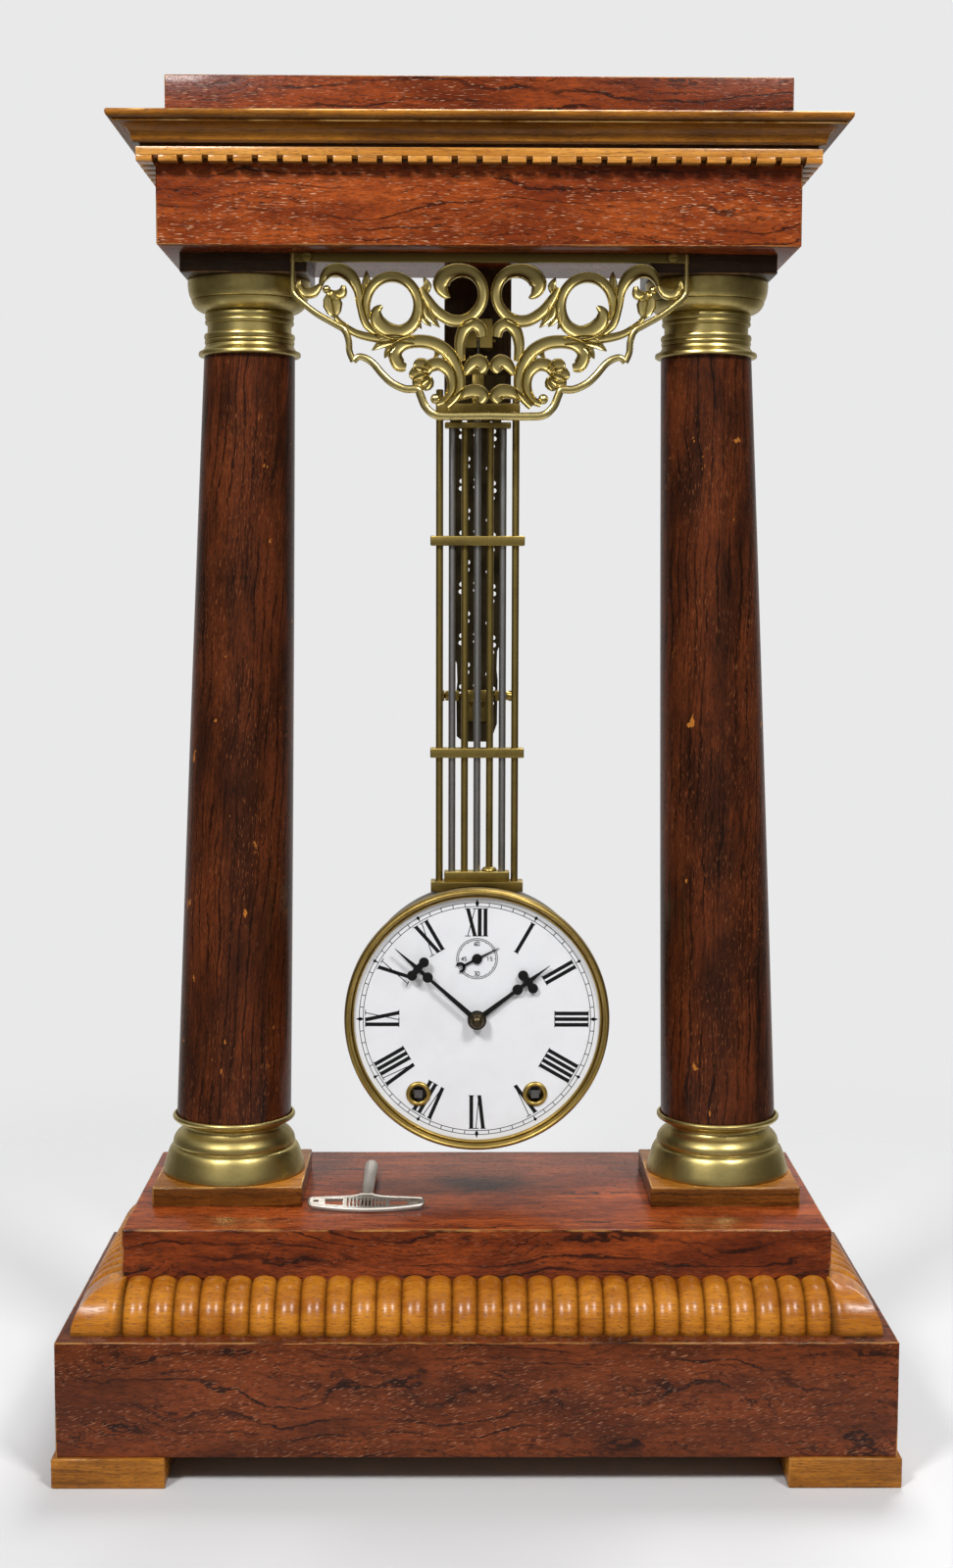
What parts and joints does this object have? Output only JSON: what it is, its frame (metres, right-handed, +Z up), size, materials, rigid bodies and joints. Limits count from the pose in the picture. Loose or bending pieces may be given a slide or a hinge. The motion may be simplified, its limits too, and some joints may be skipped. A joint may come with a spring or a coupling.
{
  "type": "portico clock",
  "caption": "Columned portico mantel clock whose round movement swings as the bob of a gridiron pendulum under a veneered entablature.",
  "frame": {"origin": "middle of the footprint, on the surface that the feet stand on", "axes": "+Z up, +X to the right seen from the front, the dial faces -Y"},
  "size_m": [0.3434, 0.1526, 0.5684],
  "materials": {
    "honey_wood": "lacquered gloss",
    "veneer_dark": "lacquered figured veneer",
    "veneer_red": "lacquered figured veneer",
    "plinth_wood": "lacquered",
    "column_wood": "lacquered dark veneer",
    "golden_wood": "lacquered",
    "dark_wood": "stained dark",
    "plain_wood": "unpolished",
    "satin_brass": "satin turned",
    "fret_brass": "antique cast",
    "aged_brass": "aged",
    "dark_bronze": "dark patina",
    "bezel_brass": "polished, slightly aged",
    "rod_steel": "drawn",
    "dial_enamel": "white enamel paint",
    "clock_brass": "machined",
    "arbor_steel": "turned",
    "black_steel": "black",
    "key_nickel": "nickel plate"
  },
  "bodies": {
    "case": {"feet": "honey_wood", "base_carcass": "veneer_dark", "base_floor": "plain_wood", "gadroon_moulding": "honey_wood", "upper_step": "veneer_red", "column_plinths": "plinth_wood", "column_base_left": "satin_brass", "column_base_right": "satin_brass", "column_shaft_left": "column_wood", "column_shaft_right": "column_wood", "column_capital_left": "satin_brass", "column_capital_right": "satin_brass", "abacus_blocks": "dark_wood", "tie_rods": "rod_steel", "frieze_carcass": "veneer_red", "dentil_course": "golden_wood", "cornice": "golden_wood", "top_block": "veneer_red", "fret": "fret_brass", "case_screws": "fret_brass", "suspension_board": "dark_wood", "suspension_cock": "aged_brass", "impulse_arm": "dark_bronze", "beat_adjuster": "aged_brass"},
    "pendulum": {"suspension_spring": "rod_steel", "pendulum_hook": "aged_brass", "brass_rods": "aged_brass", "steel_rods": "rod_steel", "gridiron_bars": "aged_brass", "lower_yoke": "aged_brass", "drum_case": "dark_bronze", "rear_cover": "dark_bronze", "bezel": "bezel_brass", "dial": "dial_enamel", "winding_grommets": "bezel_brass", "front_plate": "clock_brass", "back_plate": "clock_brass", "bell": "clock_brass"},
    "escapement_anchor": {"anchor": "arbor_steel"},
    "escape": {"escape_wheel": "clock_brass"},
    "seconds": {"seconds_wheel": "clock_brass", "seconds_hand": "black_steel"},
    "third": {"third_wheel": "clock_brass"},
    "centre": {"centre_wheel": "clock_brass"},
    "intermediate": {"intermediate_wheel": "clock_brass"},
    "second": {"second_wheel": "clock_brass"},
    "going_spring_drum": {"going_barrel": "clock_brass"},
    "going_winder": {"going_arbor": "arbor_steel"},
    "strike_spring_drum": {"strike_barrel": "clock_brass"},
    "strike_winder": {"strike_arbor": "arbor_steel"},
    "strike_pins": {"pin_wheel": "clock_brass"},
    "air_brake": {"fly": "clock_brass"},
    "striker": {"hammer": "arbor_steel"},
    "minutes": {"cannon_pinion": "arbor_steel", "minute_hand": "black_steel", "hand_nut": "dark_bronze"},
    "motion_wheel": {"minute_wheel": "clock_brass"},
    "hours": {"hour_wheel": "clock_brass", "hour_hand": "black_steel"},
    "key": {"winding_key": "key_nickel"}
  },
  "joints": [
    {"name": "pendulum_swing", "type": "hinge", "parent": "case", "child": "pendulum", "pos_m": [0, 0.0164, 0.468], "axis": [0, 1, 0], "range_deg": [-3, 3]},
    {"name": "anchor_rock", "type": "hinge", "parent": "pendulum", "child": "escapement_anchor", "pos_m": [0, 0, 0.22525], "axis": [0, 1, 0], "range_deg": [-6.5, 6.5]},
    {"name": "seconds_turn", "type": "hinge", "parent": "pendulum", "child": "seconds", "pos_m": [0, 0, 0.2055], "axis": [0, 1, 0], "continuous": true},
    {"name": "escape_turn", "type": "hinge", "parent": "pendulum", "child": "escape", "pos_m": [-0.00928, 0, 0.21656], "axis": [0, 1, 0], "continuous": true},
    {"name": "third_turn", "type": "hinge", "parent": "pendulum", "child": "third", "pos_m": [0.00281, 0, 0.19289], "axis": [0, 1, 0], "continuous": true},
    {"name": "centre_turn", "type": "hinge", "parent": "pendulum", "child": "centre", "pos_m": [0, 0, 0.1795], "axis": [0, 1, 0], "continuous": true},
    {"name": "intermediate_turn", "type": "hinge", "parent": "pendulum", "child": "intermediate", "pos_m": [0.00972, 0, 0.16943], "axis": [0, 1, 0], "continuous": true},
    {"name": "second_turn", "type": "hinge", "parent": "pendulum", "child": "second", "pos_m": [0.01529, 0, 0.15658], "axis": [0, 1, 0], "continuous": true},
    {"name": "going_barrel_turn", "type": "hinge", "parent": "pendulum", "child": "going_spring_drum", "pos_m": [0.0249, 0, 0.1471], "axis": [0, 1, 0], "continuous": true},
    {"name": "going_winding", "type": "hinge", "parent": "pendulum", "child": "going_winder", "pos_m": [0.0249, 0, 0.1471], "axis": [0, 1, 0], "continuous": true},
    {"name": "strike_barrel_turn", "type": "hinge", "parent": "pendulum", "child": "strike_spring_drum", "pos_m": [-0.0249, 0, 0.1471], "axis": [0, 1, 0], "continuous": true},
    {"name": "strike_winding", "type": "hinge", "parent": "pendulum", "child": "strike_winder", "pos_m": [-0.0249, 0, 0.1471], "axis": [0, 1, 0], "continuous": true},
    {"name": "pin_wheel_turn", "type": "hinge", "parent": "pendulum", "child": "strike_pins", "pos_m": [-0.03061, 0, 0.15934], "axis": [0, 1, 0], "continuous": true},
    {"name": "fly_turn", "type": "hinge", "parent": "pendulum", "child": "air_brake", "pos_m": [-0.02817, 0, 0.17312], "axis": [0, 1, 0], "continuous": true},
    {"name": "hammer_lift", "type": "hinge", "parent": "pendulum", "child": "striker", "pos_m": [-0.014, 0, 0.1655], "axis": [0, -1, 0], "range_deg": [0, 12]},
    {"name": "minute_turn", "type": "hinge", "parent": "pendulum", "child": "minutes", "pos_m": [0, 0, 0.1795], "axis": [0, 1, 0], "continuous": true},
    {"name": "motion_wheel_turn", "type": "hinge", "parent": "pendulum", "child": "motion_wheel", "pos_m": [-0.00902, 0, 0.17622], "axis": [0, 1, 0], "continuous": true},
    {"name": "hour_turn", "type": "hinge", "parent": "pendulum", "child": "hours", "pos_m": [0, 0, 0.1795], "axis": [0, 1, 0], "continuous": true},
    {"name": "key_slide", "type": "slide", "parent": "case", "child": "key", "axis": [0, -1, 0], "range_m": [0, 0.08]}
  ],
  "couplings": [
    {"joint": "anchor_rock", "follows": "pendulum_swing", "ratio": 1.9335},
    {"joint": "escape_turn", "follows": "seconds_turn", "ratio": -3.75},
    {"joint": "third_turn", "follows": "seconds_turn", "ratio": -0.13333},
    {"joint": "centre_turn", "follows": "seconds_turn", "ratio": 0.016667},
    {"joint": "intermediate_turn", "follows": "seconds_turn", "ratio": -0.0036232},
    {"joint": "second_turn", "follows": "seconds_turn", "ratio": 0.00078765},
    {"joint": "going_barrel_turn", "follows": "seconds_turn", "ratio": -0.00017901},
    {"joint": "pin_wheel_turn", "follows": "strike_barrel_turn", "ratio": -4.4},
    {"joint": "fly_turn", "follows": "strike_barrel_turn", "ratio": 20.24},
    {"joint": "motion_wheel_turn", "follows": "minute_turn", "ratio": -0.33333},
    {"joint": "hour_turn", "follows": "minute_turn", "ratio": 0.083333}
  ]
}
